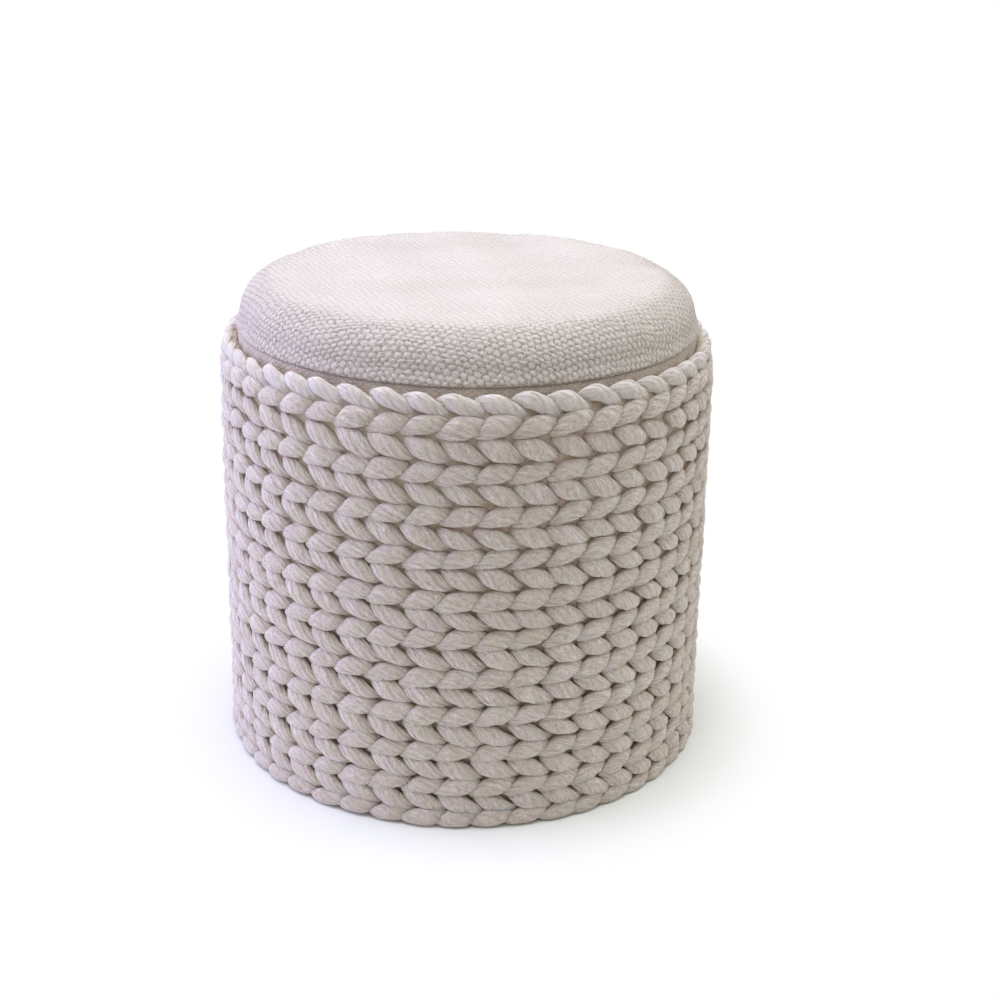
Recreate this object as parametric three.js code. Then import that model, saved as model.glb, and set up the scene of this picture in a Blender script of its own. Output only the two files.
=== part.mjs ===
// Round storage ottoman: a cloth-covered drum in a chunky knitted sleeve, with a padded lift-off lid.
// Millimetres, +Z up. The origin is the middle of the base, on the floor.

import * as THREE from 'three';

// Driving dimensions
const knitRadius = 200;          // over the plumpest strands of the knit
const drumRadius = 184;          // outside of the cloth-covered drum
const drumHeight = 350;          // floor to rim
const drumWallThickness = 12;
const drumBaseThickness = 12;
const rimRounding = 3;           // the cloth turned over the rim
const lidRadius = 185.6;
const lidSideHeight = 38;        // rim to the edge of the flat top
const lidEdge = { inward: 27.8, down: 30.6 };   // the rounded edge of the padded lid
const lidCrown = 4;              // the middle of the lid over the edge of its flat top
const lidDrawIn = { inward: 3.5, up: 4 };       // the cloth pulled under the lid
const lidBoardThickness = 12;
const lidBoardPlay = 2;          // round the board in the mouth of the drum
const seatGap = 0.3;             // between pieces that touch
const clothSegments = 40;        // facets round the drum and the lid
const rimSteps = 1;              // facets over each edge of the rim
const lidEdgeSteps = 5;          // facets over the lid's rounded edge

// The knit: stockinette turned on its side, so its V's point left. Even rows of strands rise to the
// right and odd rows fall. Rows part in turn at the V's tips and at their open ends.
const stitchesAround = 46;
const strandRows = 22;
const rowHeight = 16;
const rowSag = 4.6;              // the rows in the middle hang this much lower
const knitBackGap = 0.5;         // between the sleeve and the drum

// How far the sleeve's face lies inside knitRadius, on a strand and in the gap beside it
const knitDepth = {
  crest: { strand: 0, gap: 4.5 },
  tips: { strand: 6, gap: 10.5 },
  openEnds: { strand: 6, gap: 9.5 },
  border: { strand: 7, gap: 9 },
};
const borderNotch = 2.5;         // the first and last rows are scalloped between their strands

const drumInnerRadius = drumRadius - drumWallThickness;
const columns = stitchesAround * 2;

function clothMaterial(name, color, roughness) {
  return new THREE.MeshStandardMaterial({ name, color, roughness, metalness: 0 });
}

const knitYarn = clothMaterial('knit_yarn', 0xcdc1b6, 0.95);
const basketCloth = clothMaterial('basket_cloth', 0xd8cfc6, 0.92);
const plainCloth = clothMaterial('plain_cloth', 0xc4b9ac, 0.9);

// A turned solid about +Z from a profile of [radius, height] points, outside first from the bottom up
function turned(name, profile, material) {
  const points = profile.map(([radius, height]) => new THREE.Vector2(radius, height));
  const geometry = new THREE.LatheGeometry(points, clothSegments);
  geometry.rotateX(Math.PI / 2);
  const mesh = new THREE.Mesh(geometry, material);
  mesh.name = name;
  return mesh;
}

// Points of a quarter ellipse about a centre, from one angle to another, in degrees
function arc(centre, radii, from, to, steps) {
  return Array.from({ length: steps + 1 }, (_, i) => {
    const angle = THREE.MathUtils.degToRad(from + ((to - from) * i) / steps);
    return [centre[0] + radii[0] * Math.cos(angle), centre[1] + radii[1] * Math.sin(angle)];
  });
}

// --- Drum -------------------------------------------------------------------------------------

function drumWall() {
  const rimZ = drumHeight - rimRounding;
  const rim = [rimRounding, rimRounding];
  const profile = [
    [drumRadius, 0],
    ...arc([drumRadius - rimRounding, rimZ], rim, 0, 90, rimSteps),
    ...arc([drumInnerRadius + rimRounding, rimZ], rim, 90, 180, rimSteps),
    [drumInnerRadius, 0],
    [drumRadius, 0],
  ];
  return turned('drum_wall', profile, basketCloth);
}

function drumBase() {
  const radius = drumInnerRadius - seatGap;
  const profile = [[0, 0], [radius, 0], [radius, drumBaseThickness], [0, drumBaseThickness]];
  return turned('drum_base', profile, plainCloth);
}

// --- Knitted sleeve ---------------------------------------------------------------------------

// Height of the parting below a row; row may be a half, which gives the row's own middle
function rowZ(row) {
  return row * rowHeight - rowSag * Math.sin((Math.PI * row) / strandRows);
}

// One ring of the sleeve's face. Strands cross the partings on even columns, the rows on odd ones.
function faceRing(z, depth, strandColumn, notch) {
  return Array.from({ length: columns }, (_, column) => {
    const onStrand = column % 2 === strandColumn;
    const radius = knitRadius - (onStrand ? depth.strand : depth.gap);
    return ringPoint(radius, z + (onStrand ? 0 : notch), column);
  });
}

function ringPoint(radius, z, column) {
  const angle = (2 * Math.PI * column) / columns;
  return [radius * Math.cos(angle), radius * Math.sin(angle), z];
}

function backRing(z) {
  const radius = drumRadius + knitBackGap;
  return Array.from({ length: columns }, (_, column) => ringPoint(radius, z, column));
}

// The rings run up the face and close down the back. rises says which way each band's facets
// lean, so that their edges follow the strands.
function knitRings() {
  const rings = [];
  for (let row = 0; row < strandRows; row += 1) {
    const rises = row % 2 === 0;
    const parting = rises ? knitDepth.tips : knitDepth.openEnds;
    const first = row === 0;
    const depth = first ? knitDepth.border : parting;
    rings.push({ points: faceRing(rowZ(row), depth, 0, first ? borderNotch : 0), rises });
    rings.push({ points: faceRing(rowZ(row + 0.5), knitDepth.crest, 1, 0), rises });
  }
  const top = rowZ(strandRows);
  rings.push({ points: faceRing(top, knitDepth.border, 0, -borderNotch), rises: true });
  rings.push({ points: backRing(top - borderNotch), rises: true });
  rings.push({ points: backRing(0), rises: true });
  return rings;
}

function knitCover() {
  const rings = knitRings();
  const index = [];
  rings.forEach((ring, r) => {
    const lower = r * columns;
    const upper = ((r + 1) % rings.length) * columns;
    for (let c = 0; c < columns; c += 1) {
      const next = (c + 1) % columns;
      const [a, b, d, e] = [lower + c, lower + next, upper + next, upper + c];
      index.push(...(ring.rises ? [a, b, d, a, d, e] : [a, b, e, b, d, e]));
    }
  });
  const geometry = new THREE.BufferGeometry();
  const position = rings.flatMap((ring) => ring.points.flat());
  geometry.setAttribute('position', new THREE.Float32BufferAttribute(position, 3));
  geometry.setIndex(index);
  geometry.computeVertexNormals();
  const mesh = new THREE.Mesh(geometry, knitYarn);
  mesh.name = 'knit_cover';
  return mesh;
}

// --- Lid --------------------------------------------------------------------------------------

// The crown is the flat cap of a large sphere, so its height falls with the square of the radius
function crownPoint(radius, edgeRadius, edgeZ) {
  return [radius, edgeZ + lidCrown * (1 - (radius / edgeRadius) ** 2)];
}

function lidCushion() {
  const bottom = drumHeight + seatGap;
  const edgeZ = drumHeight + lidSideHeight;
  const flatRadius = lidRadius - lidEdge.inward;
  const profile = [
    [0, bottom],
    [lidRadius - lidDrawIn.inward, bottom],
    [lidRadius, bottom + lidDrawIn.up],
    ...arc([flatRadius, edgeZ - lidEdge.down], [lidEdge.inward, lidEdge.down], 0, 90, lidEdgeSteps),
    crownPoint(flatRadius / 2, flatRadius, edgeZ),
    crownPoint(0, flatRadius, edgeZ),
  ];
  return turned('lid_cushion', profile, basketCloth);
}

function lidBoard() {
  const radius = drumInnerRadius - lidBoardPlay;
  const bottom = drumHeight - lidBoardThickness;
  const profile = [[0, bottom], [radius, bottom], [radius, drumHeight], [0, drumHeight]];
  return turned('lid_board', profile, plainCloth);
}

const drum = new THREE.Group();
drum.add(drumWall(), drumBase(), knitCover());

const lid = new THREE.Group();
lid.add(lidCushion(), lidBoard());

const ottoman = new THREE.Group();
ottoman.add(drum, lid);

export default ottoman;
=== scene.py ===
import math

import bpy
import numpy as np
from mathutils import Matrix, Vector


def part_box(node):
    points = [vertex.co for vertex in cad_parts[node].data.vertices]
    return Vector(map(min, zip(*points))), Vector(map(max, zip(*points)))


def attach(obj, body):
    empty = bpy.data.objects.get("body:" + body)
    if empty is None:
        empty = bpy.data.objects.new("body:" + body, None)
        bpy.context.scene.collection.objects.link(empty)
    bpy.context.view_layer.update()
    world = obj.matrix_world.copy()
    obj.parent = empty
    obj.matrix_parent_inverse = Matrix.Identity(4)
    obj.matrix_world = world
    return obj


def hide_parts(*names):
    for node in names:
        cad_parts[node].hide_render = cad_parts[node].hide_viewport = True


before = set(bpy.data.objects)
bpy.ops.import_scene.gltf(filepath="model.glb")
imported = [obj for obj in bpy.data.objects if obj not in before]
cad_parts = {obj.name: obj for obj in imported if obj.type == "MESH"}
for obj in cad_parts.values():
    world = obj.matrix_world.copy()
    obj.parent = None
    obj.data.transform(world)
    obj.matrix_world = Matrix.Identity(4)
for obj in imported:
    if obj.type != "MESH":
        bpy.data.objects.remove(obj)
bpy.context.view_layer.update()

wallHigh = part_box("drum_wall")[1]
baseLow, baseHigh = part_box("drum_base")
sleeveLow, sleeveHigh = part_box("knit_cover")
lidLow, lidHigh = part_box("lid_cushion")
boardLow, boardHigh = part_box("lid_board")


# Working helpers


def deselectAll():
    for thing in list(bpy.context.selected_objects):
        thing.select_set(False)
    bpy.context.view_layer.objects.active = None


def makeActive(piece):
    deselectAll()
    piece.select_set(True)
    bpy.context.view_layer.objects.active = piece


def editStart(piece, mode="FACE"):
    makeActive(piece)
    bpy.context.scene.tool_settings.mesh_select_mode = [kind == mode for kind in ("VERT", "EDGE", "FACE")]
    bpy.ops.object.mode_set(mode="EDIT")


def editEnd():
    bpy.ops.object.mode_set(mode="OBJECT")


def pick(piece, kind, test):
    mesh = piece.data
    for group in (mesh.vertices, mesh.edges, mesh.polygons):
        group.foreach_set("select", [False] * len(group))
    for item in getattr(mesh, kind):
        item.select = bool(test(item))


def applyModifier(piece, kind, **settings):
    makeActive(piece)
    modifier = piece.modifiers.new(kind.title(), kind)
    for name, value in settings.items():
        setattr(modifier, name, value)
    bpy.ops.object.modifier_apply(modifier=modifier.name)


def finishPiece(piece, name, material, body, node):
    makeActive(piece)
    bpy.ops.object.transform_apply(location=True, rotation=True, scale=True)
    bpy.ops.object.shade_smooth()
    piece.name = name
    piece.data.materials.clear()
    piece.data.materials.append(material)
    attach(piece, body)
    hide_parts(node)


def readPoints(piece):
    flat = np.empty(len(piece.data.vertices) * 3)
    piece.data.vertices.foreach_get("co", flat)
    return flat.reshape(-1, 3)


def writePoints(piece, points):
    piece.data.vertices.foreach_set("co", np.ascontiguousarray(points, float).ravel())
    piece.data.update()


def readUv(piece):
    layer = piece.data.uv_layers.active
    flat = np.empty(len(layer.data) * 2)
    layer.data.foreach_get("uv", flat)
    return flat.reshape(-1, 2)


def writeUv(piece, values):
    layer = piece.data.uv_layers.active
    layer.data.foreach_set("uv", np.ascontiguousarray(values, float).ravel())


def ripples(x, y, wavelength, random, waves=7):  # smooth unevenness, mostly from -1 to 1
    total = np.zeros_like(x)
    for _ in range(waves):
        direction = random.uniform(0, 2 * math.pi)
        length = wavelength * random.uniform(0.7, 1.5)
        phase = random.uniform(0, 2 * math.pi)
        total += np.sin(2 * math.pi * (x * math.cos(direction) + y * math.sin(direction)) / length + phase)
    return total / math.sqrt(waves)


# Materials


def newTree(name):
    material = bpy.data.materials.new(name)
    material.use_nodes = True
    material.node_tree.nodes.clear()
    return material, material.node_tree


def addNode(tree, kind, inputs=None, **settings):
    node = tree.nodes.new("ShaderNode" + kind)
    for name, value in settings.items():
        setattr(node, name, value)
    for key, value in (inputs or {}).items():
        if isinstance(value, bpy.types.NodeSocket):
            tree.links.new(value, node.inputs[key])
        else:
            node.inputs[key].default_value = value
    return node


def calc(tree, operation, first, second=0.0, third=0.0):
    return addNode(tree, "Math", {0: first, 1: second, 2: third}, operation=operation).outputs[0]


def remap(tree, value, fromLow, fromHigh, toLow, toHigh):
    inputs = {"Value": value, "From Min": fromLow, "From Max": fromHigh, "To Min": toLow, "To Max": toHigh}
    return addNode(tree, "MapRange", inputs, interpolation_type="SMOOTHSTEP").outputs["Result"]


def noise(tree, vector, scale, detail, roughness):
    inputs = {"Vector": vector, "Scale": scale, "Detail": detail, "Roughness": roughness}
    return addNode(tree, "TexNoise", inputs).outputs["Fac"]


def steps(tree, look):  # the node steps that every finish repeats, with the look's own noises and marks
    times = lambda first, second: calc(tree, "MULTIPLY", first, second)
    plus = lambda first, share, rest: calc(tree, "MULTIPLY_ADD", first, share, rest)
    grain = lambda name, vector: noise(tree, vector, *look["noises"][name])
    mark = lambda name, pattern: remap(tree, pattern, *look["marks"][name])
    return times, plus, grain, mark


def uvParts(tree, layer):
    vector = addNode(tree, "UVMap", uv_map=layer).outputs["UV"]
    parts = addNode(tree, "SeparateXYZ", {0: vector})
    return parts.outputs["X"], parts.outputs["Y"]


def tintAll(tree, look, tints):  # mixes each named colour over the ones before it
    colour = look["colour"]
    for name, factor in tints:
        mix = addNode(tree, "Mix", {0: factor, 6: colour, 7: look[name]}, data_type="RGBA")
        colour = mix.outputs[2]
    return colour


def closeTree(tree, colour, height, look):
    relief = {"Height": height, "Distance": look["bumpDistance"], "Strength": look["bumpStrength"]}
    bump = addNode(tree, "Bump", relief)
    surface = addNode(
        tree,
        "BsdfPrincipled",
        {
            "Base Color": colour,
            "Roughness": look["roughness"],
            "Normal": bump.outputs["Normal"],
            "Specular IOR Level": 0.2,
            "Sheen Weight": look["sheen"],
            "Sheen Roughness": 0.6,
            "Subsurface Weight": look["softness"],
            "Subsurface Radius": (1.0, 0.9, 0.8),
            "Subsurface Scale": 0.0022,
        },
    )
    output = addNode(tree, "OutputMaterial")
    tree.links.new(surface.outputs[0], output.inputs["Surface"])


# In each look, a noise is its scale, detail and roughness. A mark is where it begins and ends in its
# pattern, and its strength at each.
yarnLook = {
    "colour": (0.82, 0.71, 0.615, 1),
    "pale": (0.95, 0.895, 0.855, 1),
    "warm": (0.78, 0.65, 0.54, 1),
    "rose": (0.84, 0.66, 0.64, 1),
    "olive": (0.70, 0.68, 0.50, 1),
    "dull": (0.66, 0.55, 0.47, 1),
    # dark fibre streaks, and painted shade in the ply grooves, on strand ends and in creases
    "streakAndShade": (0.50, 0.385, 0.28, 1),
    "fleck": (0.30, 0.22, 0.16, 1),
    "plies": 8,
    "twist": -3.9,  # turn of the plies over one strand
    "stray": 7.0,  # how far a ply strays from an even twist
    "plyGrain": 5.0,  # length of a strand in the noise of its plies
    "streakGrain": 1.5,  # and in the noise of its streaks
    "strandStep": 7.0,  # sets each strand's noise apart from the next one's
    "noises": {
        "stray": (1.3, 3.0, 0.6),
        "depth": (1.9, 2.0, 0.5),
        "fibre": (4.5, 3.0, 0.65),
        "fine": (10.0, 2.0, 0.6),
        "wool": (560.0, 3.0, 0.65),
        "patch": (9.0, 2.0, 0.5),
        "rose": (100.0, 3.0, 0.5),
        "olive": (85.0, 3.0, 0.5),
        "fleck": (380.0, 1.0, 0.5),
    },
    "marks": {
        "depth": (0.40, 0.60, 0.3, 1.0),
        "grooveShade": (0.55, 1.0, 0.0, 1.0),
        "fibre": (0.42, 0.62, 0.0, 1.0),
        "patch": (0.45, 0.75, 0.0, 0.2),
        "rose": (0.46, 0.60, 0.0, 0.38),
        "olive": (0.40, 0.54, 0.38, 0.0),
        "wool": (0.36, 0.56, 0.5, 0.0),
        "fine": (0.34, 0.50, 0.5, 0.0),
        "fleck": (0.74, 0.80, 0.0, 0.5),
        "end": (0.66, 0.95, 0.0, 0.5),  # painted shade on a strand's ends, which dive under its neighbours; by the share along the strand
        "creaseShade": (0.1948, 0.1985, 0.24, 0.0),  # painted shade in the creases between strands, by the distance from the drum's axis
        "belowBraid": (0.322, 0.334, 1.0, 0.0),  # by height: the painted crease shade stops below the braid, which lies further in and stays light
        # painted light: the braid is made paler by height, as its crest faces the light from above
        "braid": (0.328, 0.342, 0.0, 0.38),
    },
    "strandShare": 0.16,
    "grooveShadeShare": 0.42,
    "relief": {"fibre": 0.8, "fine": 0.8, "wool": 0.6, "ply": 0.75},
    "bumpDistance": 0.0017,
    "bumpStrength": 0.9,
    "roughness": 0.95,
    "sheen": 0.12,
    "softness": 0.7,
}
# the yarn of the sleeve's inner face, darkened as painted shade where it shows through the holes
paintedShadeLook = {**yarnLook, "colour": (0.42, 0.33, 0.215, 1), "pale": (0.50, 0.39, 0.265, 1)}


def makeYarn(name, look):
    material, tree = newTree(name)
    times, plus, grain, mark = steps(tree, look)
    around, along = uvParts(tree, "strand")
    number = calc(tree, "FLOOR", along)
    share = calc(tree, "SUBTRACT", along, number)
    tone = addNode(tree, "TexWhiteNoise", {"W": number}, noise_dimensions="1D").outputs["Value"]
    turned = times(around, 2 * math.pi)
    cosine, sine = calc(tree, "COSINE", turned), calc(tree, "SINE", turned)
    seed = times(number, look["strandStep"])
    ring, streak = [
        addNode(tree, "CombineXYZ", {0: cosine, 1: sine, 2: plus(share, look[length], seed)}).outputs[0]
        for length in ("plyGrain", "streakGrain")
    ]
    place = addNode(tree, "TexCoord").outputs["Object"]
    x, y, z = addNode(tree, "SeparateXYZ", {0: place}).outputs[:3]
    radius = calc(tree, "SQRT", plus(x, x, times(y, y)))

    stray = times(calc(tree, "SUBTRACT", grain("stray", ring), 0.5), look["stray"])
    ply = calc(tree, "FRACT", calc(tree, "DIVIDE", plus(turned, look["plies"], stray), 2 * math.pi))
    offRidge = calc(tree, "ABSOLUTE", plus(ply, 2.0, -1.0))  # 0 on a ply's ridge, 1 between two plies
    ridge = calc(tree, "COSINE", times(offRidge, math.pi))
    depth = mark("depth", grain("depth", ring))
    # painted shade in the grooves between the plies
    grooveShade = times(mark("grooveShade", offRidge), depth)
    fibre = grain("fibre", streak)
    fine = grain("fine", streak)
    wool = grain("wool", place)
    colour = tintAll(tree, look, [
        ("pale", mark("fibre", fibre)),
        ("warm", times(tone, look["strandShare"])),
        ("warm", mark("patch", grain("patch", place))),
        ("rose", mark("rose", grain("rose", place))),
        ("olive", mark("olive", grain("olive", place))),
        ("dull", mark("wool", wool)),
        ("streakAndShade", mark("fine", fine)),
        ("streakAndShade", times(grooveShade, look["grooveShadeShare"])),
        ("fleck", mark("fleck", grain("fleck", place))),
        # painted shade toward each strand's end
        ("streakAndShade", mark("end", share)),
        # painted shade in the creases, below the braid
        ("streakAndShade", times(mark("creaseShade", radius), mark("belowBraid", z))),
        # painted light on the top braid
        ("pale", mark("braid", z)),
    ])
    relief = look["relief"]
    height = plus(fibre, relief["fibre"], times(fine, relief["fine"]))
    height = plus(wool, relief["wool"], height)
    height = plus(times(ridge, depth), relief["ply"], height)
    closeTree(tree, colour, height, look)
    return material


clothLook = {
    "colour": (0.735, 0.665, 0.605, 1),
    "warm": (0.60, 0.525, 0.46, 1),
    # painted shade for the weave's crevices and pits
    "creviceShade": (0.28, 0.23, 0.18, 1),
    "fleck": (0.36, 0.29, 0.22, 1),
    "wobble": 0.7,  # how far a thread strays, in threads
    "weftShare": 0.6,
    "noises": {
        "wobble": (330.0, 2.0, 0.6),
        "grit": (620.0, 2.0, 0.6),
        "fibre": (900.0, 2.0, 0.7),
        "patch": (14.0, 3.0, 0.5),
        "fleck": (300.0, 1.0, 0.5),
    },
    "marks": {
        "wornAndLit": (0.385, 0.392, 1.0, 0.08),  # by height: the weave is rubbed flat on the top, and the painted crevice shade fades there, as the top is lit from above
        "patch": (0.35, 0.75, 0.0, 0.32),
        "fibre": (0.42, 0.60, 0.0, 0.95),
        "between": (-1.4, 0.8, 0.28, 0.0),
        "pitShade": (2.6, 4.8, 1.0, 0.0),
        "fleck": (0.76, 0.80, 0.0, 0.6),
    },
    "gritInPits": 10.0,
    "stitchShare": 0.2,
    "pitShadeShare": 0.75,
    "relief": {"weave": 0.18, "fibre": 0.9, "grit": 1.5, "stitch": 0.2},
    "bumpDistance": 0.0012,
    "bumpStrength": 0.6,
    "roughness": 0.9,
    "sheen": 0.08,
    "softness": 0.0,
}
wallLook = {
    **clothLook,
    "colour": (0.88, 0.765, 0.65, 1),
    "warm": (0.58, 0.50, 0.42, 1),
    "pitShadeShare": 0.1,
    "bumpDistance": 0.0008,
}


def makeCloth(name, look):
    material, tree = newTree(name)
    times, plus, grain, mark = steps(tree, look)
    wave = lambda phase, turn: calc(tree, "COSINE", times(phase, turn))
    warp, weft = uvParts(tree, "cloth")
    place = addNode(tree, "TexCoord").outputs["Object"]
    wornAndLit = mark("wornAndLit", addNode(tree, "SeparateXYZ", {0: place}).outputs["Z"])
    wobble = times(calc(tree, "SUBTRACT", grain("wobble", place), 0.5), look["wobble"])
    warp = calc(tree, "ADD", warp, wobble)
    weft = calc(tree, "SUBTRACT", weft, times(wobble, look["weftShare"]))
    weave = plus(times(wave(warp, math.pi), wave(weft, math.pi)), 2.0, wave(weft, 2 * math.pi))
    column = calc(tree, "ROUND", times(calc(tree, "ADD", warp, weft), 0.5))
    stitch = addNode(tree, "CombineXYZ", {0: column, 1: calc(tree, "ROUND", weft)}).outputs[0]
    tone = addNode(tree, "TexWhiteNoise", {"Vector": stitch}, noise_dimensions="2D").outputs["Value"]
    grit = grain("grit", place)
    fibre = grain("fibre", place)
    pitShade = mark("pitShade", plus(grit, look["gritInPits"], weave))
    colour = tintAll(tree, look, [
        ("warm", mark("patch", grain("patch", place))),
        ("warm", times(tone, look["stitchShare"])),
        ("warm", times(mark("fibre", fibre), wornAndLit)),
        # painted shade in the weave's crevices and pits, less on the top
        ("creviceShade", times(mark("between", weave), wornAndLit)),
        ("creviceShade", times(times(pitShade, wornAndLit), look["pitShadeShare"])),
        ("fleck", mark("fleck", grain("fleck", place))),
    ])
    relief = look["relief"]
    height = plus(weave, relief["weave"], times(fibre, relief["fibre"]))
    height = plus(grit, relief["grit"], height)
    height = plus(tone, relief["stitch"], height)
    closeTree(tree, colour, times(height, wornAndLit), look)
    return material


plainLook = {
    "colour": (0.72, 0.65, 0.57, 1),
    "warm": (0.62, 0.55, 0.47, 1),
    "pitch": 0.0012,
    "levelThreads": 1.2,  # how much the threads show on a level face
    "noises": {"patch": (30.0, 3.0, 0.5)},
    "marks": {"patch": (0.3, 0.8, 0.0, 0.5)},
    "bumpDistance": 0.0002,
    "bumpStrength": 0.5,
    "roughness": 0.92,
    "sheen": 0.05,
    "softness": 0.0,
}


def makePlainCloth(name, look):
    material, tree = newTree(name)
    times, _, grain, mark = steps(tree, look)
    place = addNode(tree, "TexCoord").outputs["Object"]
    sides = addNode(tree, "SeparateXYZ", {0: place}).outputs[:3]
    threads = [calc(tree, "SINE", times(side, 2 * math.pi / look["pitch"])) for side in sides]
    level = calc(tree, "ADD", threads[0], threads[1])
    weave = times(level, calc(tree, "ADD", threads[2], look["levelThreads"]))
    colour = tintAll(tree, look, [("warm", mark("patch", grain("patch", place)))])
    closeTree(tree, colour, weave, look)
    return material


# Knitted sleeve

knit = {
    "stitches": 46,
    "rows": 22,
    "sag": 0.0046,
    "drop": 0.0048,  # the rows between the lowest and the highest hang this much lower
    "lean": 0.0018,
    "heldBelow": 1.2,  # over how many rows each edge keeps them from dropping
    "heldAbove": 1.5,
    "tipAt": math.radians(-95.1),  # one V's tip, just left of the front
    "rowShift": 0.1,  # how far a row is shifted round, in stitches
    "sides": 8,
    "flatness": 0.57,
    "fullness": 0.8,  # below 1, the section is squarer than an ellipse
    "grow": 1.12,  # makes up for what the smoothing takes off
    "lobes": 4,
    "lobeRelief": 0.075,
    "setBack": 0.0025,  # the top braid lies on the shoulder, further in than the rows
    "topDown": 0.0024,
    "sideDroop": 0.0052,  # and hangs lower at the sides than at the front
    "flare": 0.0012,  # how far the lowest rows stand out
    "hem": 0.0065,  # how much higher the ends of the lowest strands are than their middles
    "floorGap": 0.0003,
    "uneven": {  # how much one strand differs from the next, in metres or as a share
        "bend": 0.0012,
        "length": 0.05,
        "along": 0.0012,
        "slant": 0.12,
        "slantDrift": 0.08,
        "rise": 0.0005,
        "riseDrift": 0.0004,
        "depth": 0.1,
        "out": 0.0004,
        "girth": 0.08,
        "girthDrift": 0.03,
        "swell": 0.035,
        "swells": 9,  # turn of the swelling's wave over one strand
        "swellShift": 3,
        "skin": 0.025,
    },
    "drift": {"wavelength": 9, "waves": 4, "rowStep": 3.0},  # changes over several stitches and rows
}

# Stations along one strand from its left end: right, up and out in mm from the middle of its row, and radius
risePath = np.array([
    (-3.6, -6.6, -0.9, 1.9),
    (1.0, -5.5, 0.3, 3.6),
    (5.8, -3.4, 0.8, 5.8),
    (11.0, -0.9, 0.1, 7.7),
    (16.0, 0.2, -0.2, 8.2),
    (21.0, 1.2, -0.3, 7.5),
    (25.8, 1.4, -0.8, 6.2),
    (30.4, 0.2, -2.4, 5.0),
    (34.8, -1.0, -4.8, 4.0),
]) / 1000
fallPath = np.array([
    (-3.2, 5.6, -2.4, 2.6),
    (1.4, 4.7, -0.5, 4.6),
    (5.8, 3.1, 0.3, 6.5),
    (10.3, 1.3, 0.3, 7.7),
    (15.0, -0.4, 0.2, 7.8),
    (20.0, -3.0, 0.0, 6.5),
    (25.2, -4.7, -0.3, 5.2),
    (30.3, -5.7, -2.0, 3.8),
    (35.0, -6.0, -4.4, 3.0),
]) / 1000
topPath = np.array([
    (-5.0, -1.0, -6.4, 3.4),
    (1.5, 1.2, -2.8, 5.4),
    (7.2, 2.1, -0.5, 6.6),
    (11.8, 0.9, 0.0, 6.8),
    (16.4, -1.4, -0.1, 6.7),
    (21.2, -4.0, -0.8, 6.3),
    (26.2, -6.4, -1.6, 6.1),
    (31.6, -8.3, -3.4, 5.5),
    (37.4, -9.8, -6.8, 4.4),
]) / 1000


def rowHeightAt(row, theta):
    rows = knit["rows"]
    pitch = (sleeveHigh[2] - sleeveLow[2]) / rows
    held = (1 - math.exp(-row / knit["heldBelow"])) * (1 - math.exp((row - rows) / knit["heldAbove"]))
    sag = knit["sag"] * math.sin(math.pi * row / rows)
    return row * pitch - sag - (knit["drop"] + knit["lean"] * np.cos(theta)) * held


def rowReachAt(row):  # how far a row stands out from the sleeve's own radius
    fromTop = knit["rows"] - 1 - row
    flared = knit["flare"] * (1 - row / knit["rows"]) + knit["flare"] * math.exp(-row)
    return flared - knit["setBack"] * math.exp(-fromTop)


def modelStrand():  # straight, 1 long and 1 in radius
    deselectAll()
    bpy.ops.mesh.primitive_cylinder_add(
        vertices=knit["sides"],
        radius=1,
        depth=1,
        end_fill_type="NGON",
        calc_uvs=True,
    )
    strand = bpy.context.object
    strand.data.uv_layers.active.name = "strand"
    points = readPoints(strand)
    pick(strand, "edges", lambda edge: abs(points[edge.vertices[0]][2] - points[edge.vertices[1]][2]) > 0.5)
    editStart(strand, "EDGE")
    bpy.ops.mesh.subdivide(number_cuts=len(risePath) - 2)
    editEnd()
    return strand


def unevenStrands(path, row, random):  # the middle lines and radii of one row's strands
    count = knit["stitches"]
    spread = knit["uneven"]
    drift = knit["drift"]
    stitch = np.arange(count)[:, None] * 1.0
    level = np.full((count, 1), row * drift["rowStep"])
    uneven = lambda size: random.uniform(-size, size, (count, 1))
    drifting = lambda size: size * ripples(stitch, level, drift["wavelength"], random, drift["waves"])

    right, up, out, radius = path.T[:, None, :]
    share = np.linspace(0, 1, len(path))[None, :]
    bend = uneven(spread["bend"])
    along = right * (1 + uneven(spread["length"])) + uneven(spread["along"])
    rise = up * (1 + uneven(spread["slant"]) + drifting(spread["slantDrift"]))
    rise = rise + bend * np.sin(math.pi * share) + uneven(spread["rise"]) + drifting(spread["riseDrift"])
    if row == 0:
        rise = rise + knit["hem"] * (1 - np.sin(math.pi * share))
    reach = out * (1 + uneven(spread["depth"])) + uneven(spread["out"])
    thick = 1 + uneven(spread["girth"]) + drifting(spread["girthDrift"])
    thick = thick + spread["swell"] * np.sin(share * spread["swells"] + uneven(spread["swellShift"]))
    return np.stack([along, rise, reach], axis=-1), radius * thick


def numberStrands(piece, row, random):  # V is the strand's number and the share along it
    count = knit["stitches"]
    uv = readUv(piece)
    perStrand = len(uv) // count
    number = np.repeat(np.arange(count) + row * count, perStrand)
    turn = np.repeat(random.uniform(0, 1, count), perStrand)
    sideWall = np.tile(np.arange(perStrand) < perStrand - 2 * knit["sides"], count)
    uv[:, 0] += turn
    uv[:, 1] = np.where(sideWall, np.clip((uv[:, 1] - 0.5) * 2, 0.001, 0.999), 0.5) + number
    writeUv(piece, uv)


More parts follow.
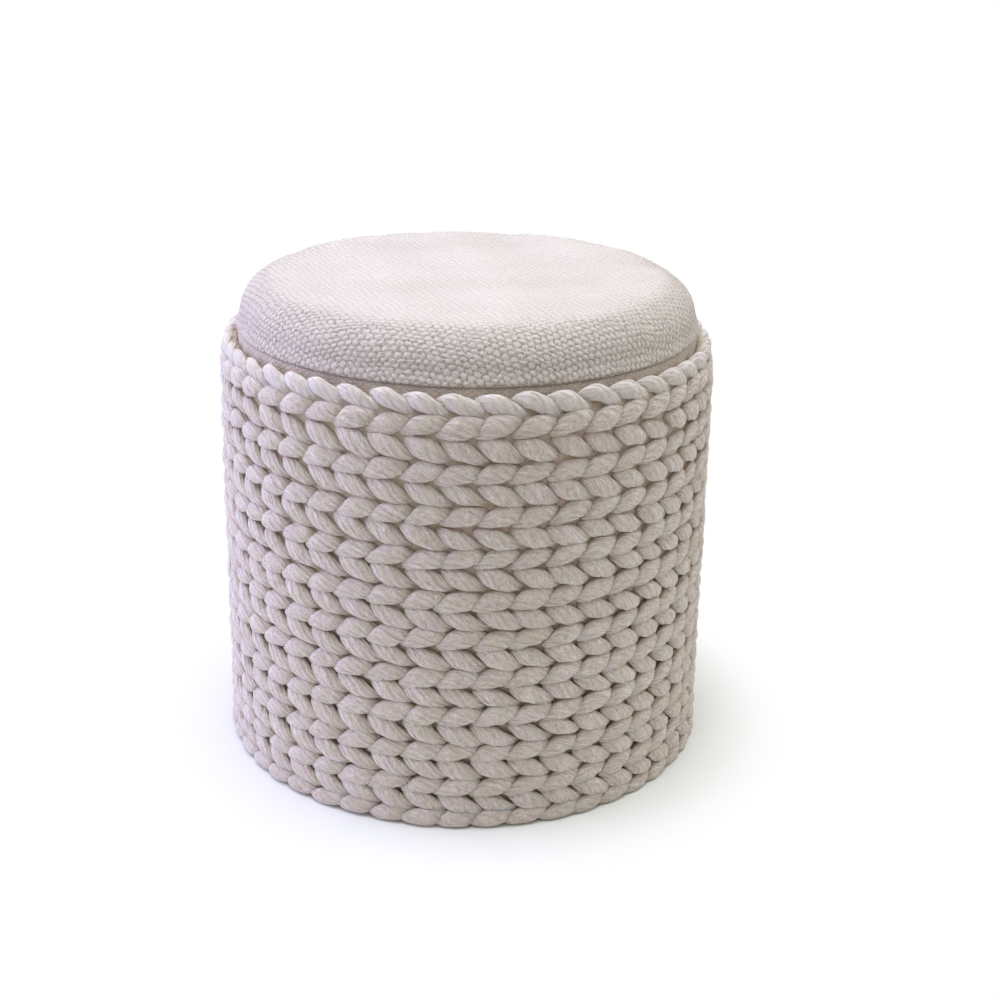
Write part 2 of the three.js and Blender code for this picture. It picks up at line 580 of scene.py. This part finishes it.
def layRow(strand, row, random):
    deselectAll()
    piece = strand.copy()
    piece.data = strand.data.copy()
    bpy.context.collection.objects.link(piece)
    count = knit["stitches"]
    applyModifier(piece, "ARRAY", count=count, use_relative_offset=False)
    base = readPoints(strand)
    stations = len(risePath)
    ring = np.rint((base[:, 2] + 0.5) * (stations - 1)).astype(int)
    around = np.arctan2(base[:, 1], base[:, 0])

    top = row == knit["rows"] - 1
    path = topPath if top else fallPath if row % 2 else risePath
    line, radius = unevenStrands(path, row, random)
    forward = np.gradient(line, axis=1)
    forward /= np.linalg.norm(forward, axis=2, keepdims=True)
    outward = np.array([0.0, 0.0, 1.0]) - forward * forward[:, :, 2:3]
    outward /= np.linalg.norm(outward, axis=2, keepdims=True)
    downward = np.cross(forward, outward)

    share = np.linspace(0, 1, stations)[None, ring]
    start = random.uniform(-math.pi, math.pi, (count, 1))
    angle = (around[None, :] - yarnLook["twist"] * share + start)[:, :, None]
    size = knit["grow"] * radius[:, ring] * (1 + knit["lobeRelief"] * np.cos(knit["lobes"] * around))
    size = size * random.normal(1, knit["uneven"]["skin"], size.shape)
    full = lambda wave: np.sign(wave) * np.abs(wave) ** knit["fullness"]
    local = line[:, ring] + size[:, :, None] * (
        full(np.cos(angle)) * knit["flatness"] * outward[:, ring] + full(np.sin(angle)) * downward[:, ring]
    )

    middle = sleeveHigh[0] - risePath[:, 3].max() * knit["flatness"]
    shift = random.uniform(-knit["rowShift"], knit["rowShift"])
    theta = knit["tipAt"] + 2 * math.pi * (np.arange(count)[:, None] + shift) / count
    theta = theta + local[:, :, 0] / middle
    reach = middle + rowReachAt(row) + local[:, :, 2]
    height = (rowHeightAt(row + 1, theta) + rowHeightAt(row, theta)) / 2 + local[:, :, 1]
    if top:
        height = height - knit["topDown"] - knit["sideDroop"] * np.cos(theta) ** 4
    if row == 0:
        height = np.maximum(height, sleeveLow[2] + knit["floorGap"])
    points = np.stack([reach * np.cos(theta), reach * np.sin(theta), height], axis=-1)
    writePoints(piece, points.reshape(-1, 3))
    numberStrands(piece, row, random)
    applyModifier(piece, "SUBSURF", levels=1, render_levels=1, uv_smooth="NONE", use_limit_surface=False)
    return piece


def knitSleeve(material):
    random = np.random.default_rng(7)
    strand = modelStrand()
    courses = []
    for first in range(0, knit["rows"], 2):
        rows = [layRow(strand, row, random) for row in (first, first + 1)]
        makeActive(rows[0])
        rows[1].select_set(True)
        bpy.ops.object.join()
        course = rows[0]
        finishPiece(course, f"knitRows{first + 1:02d}", material, "drum", "knit_cover")
        courses.append(course)
    bpy.data.objects.remove(strand)
    print("knit laid", len(courses), "courses")
    return courses


back = {
    "gap": 0.0005,
    "thickness": 0.0080,
    "lift": 0.0005,
    "stepDown": 0.011,  # it ends this far below the rim of the drum, behind the braid
    "facetsPerStitch": 4,
}


def knitBack(material, courses):  # the inner face of the sleeve, behind the strands, in a yarn darkened as painted shade seen through the holes
    radius = wallHigh[0] + back["gap"]
    low, high = sleeveLow[2] + back["lift"], wallHigh[2] - back["stepDown"]
    deselectAll()
    bpy.ops.mesh.primitive_cylinder_add(
        vertices=knit["stitches"] * back["facetsPerStitch"],
        radius=radius,
        depth=high - low,
        end_fill_type="NOTHING",
        location=(0, 0, (low + high) / 2),
    )
    piece = bpy.context.object
    piece.data.uv_layers.active.name = "strand"
    applyModifier(piece, "SOLIDIFY", thickness=back["thickness"], offset=1)
    finishPiece(piece, "knitBack", material, "drum", "knit_cover")


# Drum

drum = {
    "facets": 160,
    "baseGap": 0.0003,
    "rimRounding": 0.003,
    "rimSegments": 4,
    "baseBevel": 0.001,
    "discSegments": 3,
    "smoothUnder": math.radians(40),
}
weavePitch = (0.0033, 0.0042)  # warp and weft threads, of the wall's cloth and the lid's


def drumWall(material):
    thickness = wallHigh[0] - baseHigh[0] - drum["baseGap"]
    deselectAll()
    bpy.ops.mesh.primitive_cylinder_add(
        vertices=drum["facets"],
        radius=wallHigh[0],
        depth=wallHigh[2],
        end_fill_type="NOTHING",
        location=(0, 0, wallHigh[2] / 2),
    )
    piece = bpy.context.object
    piece.data.uv_layers.active.name = "cloth"
    uv = readUv(piece)
    uv[:, 0] *= round(2 * math.pi * wallHigh[0] / weavePitch[0] / 2) * 2  # an even number closes the weave
    uv[:, 1] *= 2 * wallHigh[2] / weavePitch[1]
    writeUv(piece, uv)
    applyModifier(piece, "SOLIDIFY", thickness=thickness, offset=-1)
    applyModifier(
        piece,
        "BEVEL",
        width=drum["rimRounding"],
        segments=drum["rimSegments"],
        limit_method="ANGLE",
    )
    finishPiece(piece, "drumWall", material, "drum", "drum_wall")


def disc(name, low, high, bevel, material, body, node):
    deselectAll()
    bpy.ops.mesh.primitive_cylinder_add(
        vertices=drum["facets"],
        radius=high[0],
        depth=high[2] - low[2],
        location=(0, 0, (low[2] + high[2]) / 2),
    )
    piece = bpy.context.object
    applyModifier(piece, "BEVEL", width=bevel, segments=drum["discSegments"], limit_method="ANGLE")
    finishPiece(piece, name, material, body, node)
    makeActive(piece)
    bpy.ops.object.shade_smooth_by_angle(angle=drum["smoothUnder"])


# Lid

lid = {
    "edgeInward": 0.0278,
    "edgeDown": 0.0306,
    "crown": 0.0040,
    "drawIn": 0.0022,
    "drawUp": 0.0035,
    "lip": 0.0009,  # the lower edge hangs this far over the rim of the drum
    "seat": 0.0002,  # how far outside the drum's wall the cloth turns level
    "underReach": 0.024,  # how far the cloth comes back under the lid
    "crownPoints": 20,
    "edgePoints": 18,
    "edgeFrom": 85,  # degrees, where the rounded edge takes over from the crown
    "lipPoints": 6,
    "boardBevel": 0.002,
}
pad = {
    "startInside": 0.0015,
    "sides": 96,
    "rimShare": 0.98,  # outside this share of the radius an edge is on the rim
    "upperSegments": 8,
    "lowerSegments": 3,
    "voxel": 0.0055,
    "pressure": 4,
    "frames": 20,
    "cap": 0.002,  # the furthest a point moves as the pad fills
    "drawnBelow": 0.002,  # to this height the lower edge keeps its drawn line
    "filledAbove": 0.008,  # and this much higher the cloth lies on the pad
}
cover = {
    "grain": math.radians(-15),
    "sway": 0.0009,
    "swayLength": 0.035,
    "threadStray": 0.00022,
    "threadSpan": 2000,  # strays are drawn for this many half threads on each side of the middle
    "padGap": 0.0005,
    "weaveHeight": 0.0004,
    "weaveRise": 1.1,
    "weaveSunk": 0.4,
    "stitchSpread": 0.22,
    "stitchSpan": 300,  # and the sizes for this many stitches
    "patchSpread": 0.25,
    "patchLength": 9,
    "wear": 0.95,  # how much flatter the weave is on the top
    "wornFrom": 0.386,
    "wornOver": 0.006,
    "flatUnder": 0.003,  # the weave rises over this height from the lower edge
    "dent": 0.0005,
    "dentLength": 0.09,
    "onRim": 0.0001,
}


def lidProfile():  # distance along the cloth from the middle, radius, height
    flat = lidHigh[0] - lid["edgeInward"]
    edgeTop = lidHigh[2] - lid["crown"]
    bottom = lidLow[2]
    radii = list(np.linspace(0, flat, lid["crownPoints"]))
    heights = [edgeTop + lid["crown"] * (1 - (radius / flat) ** 2) for radius in radii]
    for angle in np.radians(np.linspace(lid["edgeFrom"], 0, lid["edgePoints"])):
        radii.append(flat + lid["edgeInward"] * math.cos(angle))
        heights.append(edgeTop - lid["edgeDown"] * (1 - math.sin(angle)))
    for angle in np.radians(np.linspace(0, 90, lid["lipPoints"])):
        radii.append(lidHigh[0] - lid["drawIn"] * (1 - math.cos(angle)))
        heights.append(bottom - lid["lip"] + lid["drawUp"] * (1 - math.sin(angle)))
    radii += [wallHigh[0] + lid["seat"], lidHigh[0] - lid["underReach"]]
    heights += [bottom, bottom]
    lengths = np.hypot(np.diff(radii), np.diff(heights))
    return np.concatenate([[0], np.cumsum(lengths)]), np.array(radii), np.array(heights)


def startPad():  # the padding before it fills
    deselectAll()
    top = lidHigh[2] - lid["crown"] - pad["startInside"]
    bpy.ops.mesh.primitive_cylinder_add(
        vertices=pad["sides"],
        radius=lidHigh[0] - pad["startInside"],
        depth=top - lidLow[2],
        location=(0, 0, (top + lidLow[2]) / 2),
    )
    piece = bpy.context.object
    makeActive(piece)
    bpy.ops.object.transform_apply(location=True, rotation=True, scale=True)
    rims = (
        (top, lid["edgeInward"], pad["upperSegments"]),
        (lidLow[2], lid["drawIn"], pad["lowerSegments"]),
    )
    for level, width, segments in rims:
        points = readPoints(piece)
        onRim = (abs(points[:, 2] - level) < 1e-5) & (
            np.hypot(points[:, 0], points[:, 1]) > lidHigh[0] * pad["rimShare"]
        )
        pick(piece, "edges", lambda edge: all(onRim[corner] for corner in edge.vertices))
        editStart(piece, "EDGE")
        bpy.ops.mesh.bevel(offset=width, segments=segments, affect="EDGES")
        editEnd()
    applyModifier(piece, "REMESH", mode="VOXEL", voxel_size=pad["voxel"])
    return piece


def lidPad():  # the padding under the cloth, filled by a short simulation
    piece = startPad()
    start = readPoints(piece)
    makeActive(piece)
    cloth = piece.modifiers.new("Cloth", "CLOTH")
    cloth.settings.use_pressure = True
    cloth.settings.uniform_pressure_force = pad["pressure"]
    cloth.settings.effector_weights.gravity = 0
    for step in range(1, pad["frames"] + 1):
        bpy.context.scene.frame_set(step)
    bpy.ops.object.modifier_apply(modifier=cloth.name)
    bpy.context.scene.frame_set(1)
    move = readPoints(piece) - start
    far = np.maximum(np.linalg.norm(move, axis=1, keepdims=True), 1e-9)
    end = start + move * np.minimum(1, pad["cap"] / far)
    end[:, 2] = np.clip(end[:, 2], lidLow[2], lidHigh[2])
    writePoints(piece, end)
    print("lid pad filled, furthest move", round(float(far.max()), 4))
    return piece


def roundCloth(reach):  # flat, with two faces to a warp thread and four to a weft thread
    across = [math.ceil(reach / (pitch / 2)) for pitch in weavePitch]
    deselectAll()
    bpy.ops.mesh.primitive_grid_add(x_subdivisions=2 * across[0], y_subdivisions=4 * across[1], size=2)
    piece = bpy.context.object
    piece.data.uv_layers.active.name = "cloth"
    flat = readPoints(piece)[:, :2] * [across[0] * weavePitch[0] / 2, across[1] * weavePitch[1] / 2]
    writePoints(piece, np.column_stack([flat, np.zeros(len(flat))]))
    centres = [sum(flat[corner] for corner in face.vertices) / 4 for face in piece.data.polygons]
    pick(piece, "polygons", lambda face: np.hypot(*centres[face.index]) > reach - weavePitch[1] / 4)
    editStart(piece)
    bpy.ops.mesh.delete(type="FACE")
    editEnd()
    return piece


def strayThreads(flat, threads, random):  # no thread lies quite straight, and the grain is turned
    sway = [cover["sway"] * ripples(flat[:, 0], flat[:, 1], cover["swayLength"], random) for _ in range(2)]
    flat = flat + np.stack(sway, axis=1)
    span = cover["threadSpan"]
    stray = random.normal(0, cover["threadStray"], (2, 2 * span))
    for axis in range(2):
        flat[:, axis] += np.interp(threads[:, axis] * 2, np.arange(-span, span), stray[axis])
    cosine, sine = math.cos(cover["grain"]), math.sin(cover["grain"])
    return flat @ np.array([[cosine, -sine], [sine, cosine]]).T


def drawOver(flat, along, radii, heights):  # lays the flat cloth over the lid's profile
    distance = np.hypot(flat[:, 0], flat[:, 1])
    distance = np.where(distance > along[-1] - weavePitch[1] / 2, along[-1], distance)
    angle = np.arctan2(flat[:, 1], flat[:, 0])
    radius = np.interp(distance, along, radii)
    height = np.interp(distance, along, heights)
    return np.stack([radius * np.cos(angle), radius * np.sin(angle), height], axis=1)


def weaveLift(flat, threads, height, random):  # how far the weave and the soft dents lift each point
    warp, weft = threads[:, 0], threads[:, 1]
    weave = 2 * np.cos(math.pi * warp) * np.cos(math.pi * weft) + np.cos(2 * math.pi * weft)
    weave = (weave + 1.5) / 4.5  # from 0 to 1
    row = np.rint(weft).astype(int)
    column = np.rint((warp + weft) / 2).astype(int)
    span = cover["stitchSpan"]
    stitchSize = random.normal(1, cover["stitchSpread"], (2 * span, 2 * span))[row + span, column + span]
    strength = stitchSize + cover["patchSpread"] * ripples(warp, weft, cover["patchLength"], random)
    wornAndLit = np.clip((height - cover["wornFrom"]) / cover["wornOver"], 0, 1)
    strength = strength * (1 - cover["wear"] * wornAndLit)
    dents = cover["dent"] * ripples(flat[:, 0], flat[:, 1], cover["dentLength"], random)
    return cover["weaveHeight"] * (weave ** cover["weaveRise"] - cover["weaveSunk"]) * strength + dents


def closeUnder(piece):  # the cloth's edge meets in the middle of the underside
    editStart(piece, "EDGE")
    bpy.ops.mesh.select_all(action="DESELECT")
    bpy.ops.mesh.select_non_manifold()
    bpy.ops.mesh.extrude_edges_move()
    bpy.ops.mesh.merge(type="CENTER")
    bpy.ops.mesh.select_all(action="SELECT")
    bpy.ops.mesh.normals_make_consistent(inside=False)
    editEnd()


def lidCushion(material):
    random = np.random.default_rng(11)
    along, radii, heights = lidProfile()
    piece = roundCloth(along[-1])
    flat = readPoints(piece)[:, :2]
    threads = flat / weavePitch
    corners = np.empty(len(piece.data.loops), int)
    piece.data.loops.foreach_get("vertex_index", corners)
    writeUv(piece, threads[corners])
    flat = strayThreads(flat, threads, random)
    drawn = drawOver(flat, along, radii, heights)
    writePoints(piece, drawn)

    filled = lidPad()
    applyModifier(
        piece,
        "SHRINKWRAP",
        target=filled,
        wrap_method="NEAREST_SURFACEPOINT",
        offset=cover["padGap"],
    )
    bpy.data.objects.remove(filled)

    height = drawn[:, 2]
    above = np.clip((height - lidLow[2] - pad["drawnBelow"]) / pad["filledAbove"], 0, 1)[:, None]
    points = drawn + (readPoints(piece) - drawn) * above
    writePoints(piece, points)
    normals = np.empty(len(points) * 3)
    piece.data.vertices.foreach_get("normal", normals)
    under = np.clip((points[:, 2] - lidLow[2]) / cover["flatUnder"], 0, 1)
    lift = weaveLift(flat, threads, height, random) * under
    points += normals.reshape(-1, 3) * lift[:, None]
    onRim = np.hypot(points[:, 0], points[:, 1]) < wallHigh[0] + cover["onRim"]
    points[:, 2] = np.where(onRim, np.maximum(points[:, 2], lidLow[2]), points[:, 2])
    writePoints(piece, points)
    closeUnder(piece)
    finishPiece(piece, "lidCushion", material, "lid", "lid_cushion")
    print("lid covered", len(piece.data.polygons), "faces")


# Camera, light and floor

view = {"place": (0.0, -1.2752, 0.6926), "lens": 58.54, "right": 1.28, "down": 21.37, "roll": 1.10}


def setCamera():
    right, down, roll = (math.radians(view[key]) for key in ("right", "down", "roll"))
    forward = np.array(
        [math.sin(right) * math.cos(down), math.cos(right) * math.cos(down), -math.sin(down)]
    )
    level = np.array([math.cos(right), -math.sin(right), 0])
    upward = np.cross(level, forward)
    across = math.cos(roll) * level + math.sin(roll) * upward
    upward = -math.sin(roll) * level + math.cos(roll) * upward
    data = bpy.data.cameras.new("camera")
    data.lens = view["lens"]
    camera = bpy.data.objects.new("camera", data)
    bpy.context.collection.objects.link(camera)
    turn = Matrix([[across[i], upward[i], -forward[i]] for i in range(3)]).to_4x4()
    camera.matrix_world = Matrix.Translation(view["place"]) @ turn
    bpy.context.scene.camera = camera


lamps = {
    "overhead": {
        "place": (0.0, -0.1, 1.9),
        "aim": (0, 0, 0.3),
        "size": 1.6,
        "power": 29.7,
        "colour": (0.92, 0.97, 1.05),
    },
    "left": {
        "place": (-1.7, 0.25, 0.65),
        "aim": (0, 0, 0.2),
        "size": 2.3,
        "power": 30.5,
        "colour": (0.85, 0.85, 1.42),
    },
    "right": {
        "place": (1.8, 0.3, 0.8),
        "aim": (0, 0, 0.2),
        "size": 1.2,
        "power": 7.3,
        "colour": (1.0, 0.99, 0.93),
    },
    "front": {
        "place": (-0.7, -2.2, 0.95),
        "aim": (0, 0, 0.2),
        "size": 1.5,
        "power": 2.6,
        "colour": (1.0, 0.925, 0.82),
    },
}


def setLamps():
    for name, lamp in lamps.items():
        data = bpy.data.lights.new(name, "AREA")
        data.shape = "DISK"
        data.size = lamp["size"]
        data.energy = lamp["power"]
        data.color = lamp["colour"]
        thing = bpy.data.objects.new(name, data)
        bpy.context.collection.objects.link(thing)
        away = np.array(lamp["place"]) - np.array(lamp["aim"])
        thing.location = lamp["place"]
        thing.rotation_euler = (
            math.acos(away[2] / np.linalg.norm(away)),
            0,
            math.atan2(away[1], away[0]) + math.pi / 2,
        )


room = {
    "ambient": 0.25,
    "paper": (0.95, 0.95, 0.90, 1),
    "floorRadius": 6.0,
    "floorSides": 96,
    "floorDrop": 0.0005,
    "whiteFrom": 0.19,  # distances from the middle between which the paper fades to plain white
    "whiteTo": 0.29,
}


def setWorld():
    world = bpy.data.worlds.new("studio")
    bpy.context.scene.world = world
    world.use_nodes = True
    tree = world.node_tree
    tree.nodes.clear()
    rays = addNode(tree, "LightPath")
    seen = calc(tree, "MAXIMUM", rays.outputs["Is Camera Ray"], rays.outputs["Is Glossy Ray"])
    seen = calc(tree, "MAXIMUM", seen, rays.outputs["Is Transmission Ray"])
    strength = addNode(tree, "MapRange", {"Value": seen, "To Min": room["ambient"], "To Max": 1.0})
    inputs = {"Color": (1, 1, 1, 1), "Strength": strength.outputs["Result"]}
    background = addNode(tree, "Background", inputs)
    output = addNode(tree, "OutputWorld")
    tree.links.new(background.outputs[0], output.inputs["Surface"])


def setFloor():
    deselectAll()
    bpy.ops.mesh.primitive_circle_add(
        vertices=room["floorSides"],
        radius=room["floorRadius"],
        fill_type="NGON",
        location=(0, 0, -room["floorDrop"]),
    )
    floor = bpy.context.object
    material, tree = newTree("floorPaper")
    place = addNode(tree, "TexCoord").outputs["Object"]
    distance = addNode(tree, "VectorMath", {0: place}, operation="LENGTH").outputs["Value"]
    far = remap(tree, distance, room["whiteFrom"], room["whiteTo"], 0.0, 1.0)
    seen = calc(tree, "MULTIPLY", far, addNode(tree, "LightPath").outputs["Is Camera Ray"])
    paper = addNode(tree, "BsdfDiffuse", {"Color": room["paper"]})
    white = addNode(tree, "Emission", {"Color": (1, 1, 1, 1), "Strength": 1.0})
    mix = addNode(tree, "MixShader", {0: seen, 1: paper.outputs[0], 2: white.outputs[0]})
    output = addNode(tree, "OutputMaterial")
    tree.links.new(mix.outputs[0], output.inputs["Surface"])
    floor.data.materials.append(material)
    floor.name = "floor"


bpy.context.scene.view_settings.view_transform = "Standard"
setCamera()
setLamps()
setWorld()
setFloor()
print("stage set")

yarn = makeYarn("knitYarn", yarnLook)
paintedShadeYarn = makeYarn("paintedShadeYarn", paintedShadeLook)
basketCloth = makeCloth("basketCloth", clothLook)
wallCloth = makeCloth("wallCloth", wallLook)
plainCloth = makePlainCloth("plainCloth", plainLook)
print("materials made")

drumWall(wallCloth)
disc("drumBase", baseLow, baseHigh, drum["baseBevel"], plainCloth, "drum", "drum_base")
knitBack(paintedShadeYarn, knitSleeve(yarn))
lidCushion(basketCloth)
disc("lidBoard", boardLow, boardHigh, lid["boardBevel"], plainCloth, "lid", "lid_board")
